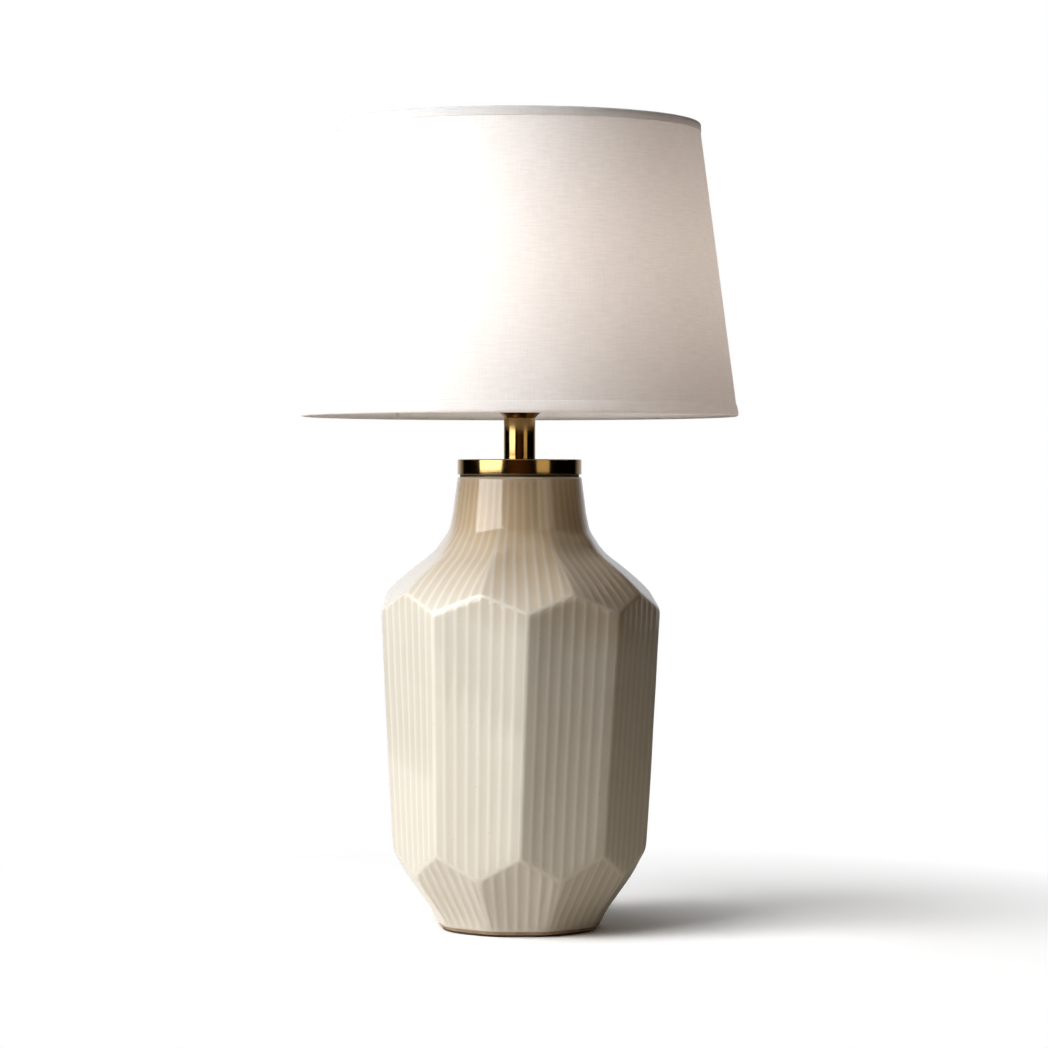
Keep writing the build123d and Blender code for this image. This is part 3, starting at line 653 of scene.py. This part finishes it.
def make_vase():
    """The glazed ceramic body: fluted outside, rolled rim, plain inside, clay foot ring, cord inlet."""
    bearings, heights = vase_grid()
    bearings, heights = (round_the_pot(part) for part in (bearings, heights))
    bearings += np.repeat(np.arange(FACETS) * STEP, COLUMNS)[None]
    radii, crest = vase_surface(bearings, heights)
    radii = radii + hand_made(bearings, heights)
    rim, foot = radii[-1], radii[0]
    rows = [(bearings[i], radii[i], heights[i], crest[i]) for i in range(len(radii))]
    top, low = bearings[-1], bearings[0]
    flat = np.ones_like(rim)
    rows += [(top, rim - inset * MM, z * MM * flat, flat) for z, inset in LIP]
    for i, (z, r) in enumerate(INSIDE):
        turn = (i + 1) / len(INSIDE)
        rows.append(((1 - turn) * top + turn * low, r * MM * flat, z * MM * flat, flat))
    rows += [(low, foot - inset * MM, z * MM * flat, flat) for z, inset in CLAY_RING]
    points = np.array([around(b, r, z) for b, r, z, _ in rows])
    faces = ring_faces(len(rows), bearings.shape[1])
    glazed = len(radii) + len(LIP) + GLAZED_INSIDE
    slots = [0 if i < glazed - 1 else 1 for i in range(len(rows)) for _ in range(bearings.shape[1])]
    vase = add_mesh("fluted_vase", points, faces, slots)
    shade_of_crest = vase.data.attributes.new("crest", "FLOAT", "POINT")
    shade_of_crest.data.foreach_set("value", np.array([c for *_, c in rows]).ravel())
    low_corner, high_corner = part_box("cord_grommet")
    middle = (low_corner + high_corner) / 2
    hole = cylinder("inlet_hole", INLET_HOLE, (0, 0.07, middle.z), (0, 0.11, middle.z))
    seat = cylinder("inlet_seat", INLET_SEAT, (0, INLET_FACE, middle.z), (0, 0.12, middle.z))
    cut(vase, hole, seat)
    vase.data.set_sharp_from_angle(angle=60 * DEG)
    vase.data.materials.append(glaze())
    vase.data.materials.append(bare_clay())
    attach(vase, "base")
    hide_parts("vase_body")
    return vase


# ---- brass neck ---------------------------------------------------------------------------


def outline_mm(points, radii, steps=5):
    """A (radius, height) outline in millimetres, rounded and turned to metres."""
    radii = [r * MM for r in radii] if hasattr(radii, "__len__") else radii * MM
    return rounded([(r * MM, z * MM) for r, z in points], radii, steps)


PIPE_HOLE = 5.3  # radius, in millimetres like the sheet thicknesses below
CAP_WALL, TUBE_WALL, CUP_WALL = 1.4, 1.5, 1.2


def make_neck():
    """The brass cap and tube and the dark flared cup, with rounded edges."""
    aged = brass("aged_brass", (0.42, 0.275, 0.11), 0.1, 0.2)
    bronze = brass("dark_bronze", (0.26, 0.13, 0.05), 0.2, 0.5)
    low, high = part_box("neck_cap")
    reach, top, bottom = high.x / MM, high.z / MM, low.z / MM
    cap = lathe(
        "brass_cap",
        outline_mm(
            [(PIPE_HOLE, top), (reach, top), (reach, bottom)]
            + [(reach - CAP_WALL, bottom), (reach - CAP_WALL, top - CAP_WALL), (PIPE_HOLE, top - CAP_WALL)],
            [0.2, 0.8, 0.35, 0.3, 0.6, 0.2],
        ),
        256,
    )
    low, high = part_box("neck_tube")
    outer, bottom, top = high.x / MM, low.z / MM, high.z / MM
    tube = lathe(
        "brass_tube",
        outline_mm([(outer, bottom), (outer, top), (outer - TUBE_WALL, top), (outer - TUBE_WALL, bottom)], 0.25),
        128,
    )
    low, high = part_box("socket_cup")
    bottom, top, wide = low.z / MM, high.z / MM, high.x / MM
    flare = [(PIPE_HOLE, bottom), (11.9, bottom), (12.3, bottom + 0.5), (13.6, bottom + 2.0), (15.4, bottom + 3.5)]
    flare += [(17.3, bottom + 4.8), (19.2, bottom + 6.1), (20.1, bottom + 7.3), (wide, bottom + 8.4), (wide, top)]
    inner = [(wide - CUP_WALL, top), (wide - CUP_WALL, bottom + 8.6), (18.0, bottom + 6.8), (15.6, bottom + 5.0)]
    inner += [(12.6, bottom + 2.6), (12.2, bottom + 1.4), (PIPE_HOLE, bottom + 1.4)]
    cup = lathe("flared_cup", outline_mm(flare + inner, 0.5, 3), 128)
    for piece, node, material, slot in (
        (cap, "neck_cap", aged, "antique_brass"),
        (tube, "neck_tube", aged, "antique_brass"),
        (cup, "socket_cup", bronze, "dark_brass"),
    ):
        piece.data.materials.append(material)
        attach(piece, "base")
        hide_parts(node)


# ---- shade --------------------------------------------------------------------------------

SHADE_LOW, SHADE_HIGH = 388.8 * MM, 610 * MM
LOW_RADIUS, HIGH_RADIUS = 165.2 * MM, 136.3 * MM
CLOTH = 0.6 * MM  # thickness of the linen and of its backing
SHEET_INSET = 0.6 * MM  # how far the sheets end short of the hems' outer edges
SEAM = 172 * DEG  # bearing of the shade's back seam
SEAM_WIDTH = 11 * MM


def shade_radius(z):
    """Outer radius of the linen's cone at height z."""
    return LOW_RADIUS + (HIGH_RADIUS - LOW_RADIUS) * (z - SHADE_LOW) / (SHADE_HIGH - SHADE_LOW)


def stretched(bearing, z):
    """How linen pulled over a frame strays from a true cone, with the lapped seam at the back."""
    slack = np.sin(3 * bearing + 9 * z) + 0.7 * np.sin(5 * bearing - 14 * z + 1.7)
    slack += 0.35 * np.sin(11 * bearing + 25 * z + 0.4)
    along = ((bearing - SEAM + math.pi) % (2 * math.pi) - math.pi) * shade_radius(z)
    lap = smoothstep((SEAM_WIDTH / 2 - np.abs(along)) / (0.6 * MM))
    return 0.14 * MM * slack + 0.38 * MM * lap


def puckered(bearing, z):
    """Small puckers where a hem is turned round the wire."""
    pucker = np.sin(83 * bearing) * np.sin(19 * bearing + 1.3) + 0.6 * np.sin(131 * bearing + 2.0)
    return stretched(bearing, z) + 0.07 * MM * pucker


def unroll(obj):
    """Gives a turned sheet a UV map in metres: round the cone, and up its slope."""
    layer = obj.data.uv_layers.new(name="weave")
    co = np.array([v.co for v in obj.data.vertices])
    bearing = np.arctan2(co[:, 0], -co[:, 1])
    slope = np.hypot(LOW_RADIUS - HIGH_RADIUS, SHADE_HIGH - SHADE_LOW) / (SHADE_HIGH - SHADE_LOW)
    uv = np.zeros((len(obj.data.loops), 2))
    for polygon in obj.data.polygons:
        turns = bearing[list(polygon.vertices)]
        if np.ptp(turns) > math.pi:
            turns = np.where(turns < 0, turns + 2 * math.pi, turns)
        for loop, vertex, turn in zip(polygon.loop_indices, polygon.vertices, turns):
            radius = math.hypot(co[vertex, 0], co[vertex, 1])
            uv[loop] = turn * (LOW_RADIUS + HIGH_RADIUS) / 2, co[vertex, 2] * slope + radius * 0.02
    layer.data.foreach_set("uv", uv.ravel())


def sheet_outline(depth, rows, low, high):
    """Closed outline of a slanted sheet, depth inside the linen's face, with rows along its slope."""
    z = np.linspace(low, high, rows)
    outer = [(shade_radius(h) - depth, h) for h in z]
    inner = [(shade_radius(h) - depth - CLOTH, h) for h in z[::-1]]
    return outer + inner


def make_shade():
    """The linen cover, its backing and two hem tapes; returns the linen pieces, the top hem last."""
    cloth = linen()
    # the hem tapes are this linen made 3% darker: painted shade on the rolled hems
    tape = linen("linen_tape_shaded", 0.97)
    white = styrene()
    low, high = SHADE_LOW + SHEET_INSET, SHADE_HIGH - SHEET_INSET
    cover = lathe("linen_cover", sheet_outline(0.0, 46, low, high), 384, stretched, sharp=80)
    liner = lathe("shade_backing", sheet_outline(CLOTH, 24, low, high), 256, stretched, sharp=80)
    low_hem = [(164.55, 397.0), (165.35, 393.2), (165.85, 390.6), (165.7, 389.0), (164.6, 388.3), (162.0, 388.4)]
    low_hem += [(160.6, 389.4), (160.0, 391.2), (159.9, 395.3), (160.35, 395.4), (160.5, 391.4), (161.3, 389.6)]
    low_hem += [(163.0, 389.15), (164.6, 389.3), (165.2, 390.2), (164.9, 392.6), (164.12, 396.9)]
    high_hem = [(137.65, 603.2), (137.5, 606.5), (137.35, 608.6), (136.7, 609.7), (135.4, 610.0), (133.4, 609.9)]
    high_hem += [(131.9, 609.0), (131.4, 607.4), (131.5, 603.4), (131.95, 603.4), (131.95, 607.2), (132.6, 608.7)]
    high_hem += [(133.9, 609.35), (135.4, 609.4), (136.5, 608.9), (136.9, 607.4), (137.22, 603.2)]
    hems = [
        lathe("low_hem_tape", outline_mm(low_hem, 0.5, 3), 384, puckered, sharp=80),
        lathe("high_hem_tape", outline_mm(high_hem, 0.5, 3), 384, puckered, sharp=80),
    ]
    for piece, node, material, slot in (
        (cover, "shade_fabric", cloth, "linen"),
        (liner, "shade_liner", white, "white_styrene"),
        (hems[0], "bottom_hem", tape, "linen"),
        (hems[1], "top_hem", tape, "linen"),
    ):
        unroll(piece)
        piece.data.materials.append(material)
        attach(piece, "shade")
        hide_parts(node)
    return [cover, *hems]


# ---- the rest of the CAD pieces keep their shape ------------------------------------------


def dress(material, *names):
    """Gives CAD nodes this material."""
    for name in names:
        mesh = nodes[name].data
        mesh.materials.clear()
        mesh.materials.append(material)


def dress_the_rest():
    """Materials of all the nodes that are shown as they are."""
    dress(felt(), "felt_pad")
    dress(moulded("rubber", (0.03, 0.03, 0.03), 0.6, 0.0001), "cord_grommet", "rubber_gasket")
    dress(plated("zinc_plate", (0.62, 0.62, 0.58), 0.35), "base_plate", "lock_washer", "hex_nut", "lamp_pipe")
    dress(plated("bright_steel", (0.66, 0.66, 0.64), 0.28), "tube_seat_rings", "terminal_screws")
    # the bung's flange fills the gap under the brass cap; its near-black is partly the plastic's colour and partly
    # painted shadow for the dark line in that gap
    dress(moulded("black_plastic", (0.012, 0.011, 0.01), 0.55), "neck_bung")
    phenolic = moulded("phenolic", (0.02, 0.017, 0.014), 0.28, 0.00002)
    dress(phenolic, "holder_base", "holder_skirt", "shade_ring", "switch_block", "switch_knob")
    dress(porcelain(), "terminal_block")
    dress(brass("plain_brass", (0.84, 0.66, 0.33), 0.25, 0.3), "screw_shell", "centre_contact", "switch_shaft")
    dress(powder_coat(), "shade_spider", "bottom_wire", "top_wire")
    dress(plated("nickel_plate", (0.74, 0.71, 0.65), 0.25), "bulb_cap")
    dress(plated("solder", (0.62, 0.62, 0.62), 0.4), "bulb_tip")
    dress(moulded("black_glass", (0.012, 0.012, 0.02), 0.12, 0.00001), "bulb_insulator")
    dress(moulded("white_housing", (0.82, 0.82, 0.80), 0.35, 0.00003), "bulb_housing")
    dress(moulded("led_board", (0.85, 0.85, 0.82), 0.4, 0.00002), "bulb_led_board")
    dress(opal(), "bulb_dome")


# ---- studio -------------------------------------------------------------------------------


def area_light(name, place, aim, width, height, power, colour=(1, 1, 1)):
    """A rectangular light, with its power in watts."""
    light = bpy.data.lights.new(name, "AREA")
    light.shape = "RECTANGLE"
    light.size, light.size_y = width, height
    light.energy = power
    light.color = colour
    obj = bpy.data.objects.new(name, light)
    bpy.context.scene.collection.objects.link(obj)
    obj.location = place
    obj.rotation_euler = (Vector(aim) - Vector(place)).to_track_quat("-Z", "Y").to_euler()
    return obj


def polar(distance, bearing, height):
    """A point at a distance and bearing in degrees from the lamp's axis."""
    return distance * math.sin(bearing * DEG), -distance * math.cos(bearing * DEG), height


def make_world():
    """White behind the lamp, dim in front, and plain white where the camera looks straight at it."""
    world = bpy.data.worlds.new("studio")
    bpy.context.scene.world = world
    world.use_nodes = True
    tree = world.node_tree
    tree.nodes.clear()
    output = tree.nodes.new("ShaderNodeOutputWorld")
    seen = tree.nodes.new("ShaderNodeBackground")
    around_it = tree.nodes.new("ShaderNodeBackground")
    both = tree.nodes.new("ShaderNodeMixShader")
    seen.inputs["Color"].default_value = (1, 1, 1, 1)
    direction = tree.nodes.new("ShaderNodeTexCoord")
    split = tree.nodes.new("ShaderNodeSeparateXYZ")
    ramp = tree.nodes.new("ShaderNodeValToRGB")
    ramp.color_ramp.elements[0].color = (0.1, 0.04, 0.012, 1)
    ramp.color_ramp.elements[1].position = 0.96
    ramp.color_ramp.elements[1].color = (0.9, 0.9, 0.92, 1)
    for position in (0.05, 0.80):
        ramp.color_ramp.elements.new(position).color = (0.002, 0.001, 0.001, 1)
    lift = tree.nodes.new("ShaderNodeMapRange")
    lift.inputs["From Min"].default_value = -1
    path = tree.nodes.new("ShaderNodeLightPath")
    tree.links.new(direction.outputs["Generated"], split.inputs[0])
    tree.links.new(split.outputs["Y"], lift.inputs["Value"])
    tree.links.new(lift.outputs["Result"], ramp.inputs["Fac"])
    tree.links.new(ramp.outputs["Color"], around_it.inputs["Color"])
    dimmer = tree.nodes.new("ShaderNodeMapRange")
    for key, number in zip(("From Min", "From Max", "To Min", "To Max"), (-0.1, 0.1, 1, 0.7)):
        dimmer.inputs[key].default_value = number
    tree.links.new(split.outputs["X"], dimmer.inputs["Value"])
    tree.links.new(dimmer.outputs["Result"], around_it.inputs["Strength"])
    tree.links.new(path.outputs["Is Camera Ray"], both.inputs[0])
    tree.links.new(around_it.outputs[0], both.inputs[1])
    tree.links.new(seen.outputs[0], both.inputs[2])
    tree.links.new(both.outputs[0], output.inputs["Surface"])


EXPOSED = 1.2  # how bright the camera sees the floor


def floor_paper():
    """Warm paper to the lamp; to the camera it is over-exposed and fades to plain white further out."""
    s = Shader("floor_paper")
    reach = s.node("ShaderNodeVectorMath", operation="LENGTH")
    s.link(s.coordinates(), reach.inputs[0])
    seen = s.node("ShaderNodeLightPath").outputs["Is Camera Ray"]
    bounce = s.mix(s.spread(reach.outputs["Value"], 0, 1, 0.1, 0.4), (0.56, 0.5, 0.42), (0.37, 0.325, 0.26))
    matt, white, both = (s.node(k) for k in ("ShaderNodeBsdfDiffuse", "ShaderNodeEmission", "ShaderNodeMixShader"))
    s.link(s.mix(seen, bounce, (EXPOSED, EXPOSED, EXPOSED)), matt.inputs["Color"])
    white.inputs["Color"].default_value = (1, 1, 1, 1)
    white.inputs["Strength"].default_value = 1
    s.link(s.math("MULTIPLY", seen, s.spread(reach.outputs["Value"], 0, 1, 0.2, 0.6)), both.inputs[0])
    s.link(matt.outputs[0], both.inputs[1])
    s.link(white.outputs[0], both.inputs[2])
    s.link(both.outputs[0], s.output.inputs["Surface"])
    return s.material


def make_studio():
    """World, floor and lights."""
    make_world()
    mesh = bpy.data.meshes.new("floor")
    left, right, front, back = -1.1, 2.2, -0.93, 2.4
    mesh.from_pydata([(left, front, 0), (right, front, 0), (right, back, 0), (left, back, 0)], [], [(0, 1, 2, 3)])
    floor = bpy.data.objects.new("floor", mesh)
    bpy.context.scene.collection.objects.link(floor)
    floor.location.z = cad_box[0].z - 0.1 * MM
    floor.data.materials.append(floor_paper())
    area_light("key", polar(1.25, -55, 0.86), (0, 0, 0.32), 1.2, 1.3, 23)
    core = area_light("key_core", polar(1.2, -66, 0.8), (0, 0, 0.3), 0.4, 0.5, 4)
    core.visible_glossy = core.visible_camera = False
    strip = area_light("strip", polar(1.5, 44, 0.75), (0, 0, 0.3), 0.7, 1.1, 2.4, (1, 0.87, 0.6))
    area_light("high", polar(0.75, -45, 1.7), (0, 0, 0), 1.0, 1.0, 8.5)
    overhead = area_light("overhead", (0, 0, 1.15), (0, 0, 0), 0.35, 0.35, 3)
    on_floor = bpy.data.collections.new("lit_by_overhead")
    on_floor.objects.link(floor)
    overhead.light_linking.receiver_collection = on_floor
    fill = area_light("fill", polar(1.3, 58, 0.75), (0, 0, 0.26), 0.5, 0.5, 0.6, (1, 0.8, 0.6))
    fill.visible_glossy = False
    gleam = area_light("table_gleam", (-0.46, 0.73, 0.3 * MM), (-0.46, 0.73, 1), 0.96, 3.32, 5.9)
    for light in (strip, gleam):  # seen in gloss only
        light.visible_camera = light.visible_diffuse = False


def make_glow(pieces):
    """The bulb's own faint, warm light: it falls on these pieces only, and only the last one stops it."""
    low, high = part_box("bulb_dome")
    light = bpy.data.lights.new("bulb_glow", "POINT")
    light.energy = 0.56
    light.color = (1, 0.82, 0.71)
    light.shadow_soft_size = (high.x - low.x) / 2 + 2 * MM
    obj = bpy.data.objects.new("bulb_glow", light)
    bpy.context.scene.collection.objects.link(obj)
    obj.location = (0, 0, low.z)
    obj.visible_camera = False
    obj.visible_glossy = False
    lit, blocking = (bpy.data.collections.new(name) for name in ("lit_by_bulb", "blocking_bulb"))
    for piece in pieces:
        lit.objects.link(piece)
    blocking.objects.link(pieces[-1])
    obj.light_linking.receiver_collection = lit
    obj.light_linking.blocker_collection = blocking


def make_camera():
    """The photograph's view: a long lens, nearly level with the lamp's middle."""
    camera = bpy.data.cameras.new("camera")
    camera.lens = 120.9
    camera.sensor_width = 36
    obj = bpy.data.objects.new("camera", camera)
    bpy.context.scene.collection.objects.link(obj)
    aim = Vector((3.4 * MM, 0, 306.8 * MM))
    obj.location = (3.4 * MM, -2.673, 0.340)
    obj.rotation_euler = (aim - obj.location).to_track_quat("-Z", "Y").to_euler()
    bpy.context.scene.camera = obj
    bpy.context.scene.view_settings.view_transform = "Standard"


make_camera()
make_vase()
make_neck()
shade = make_shade()
dress_the_rest()
make_studio()
make_glow(shade)
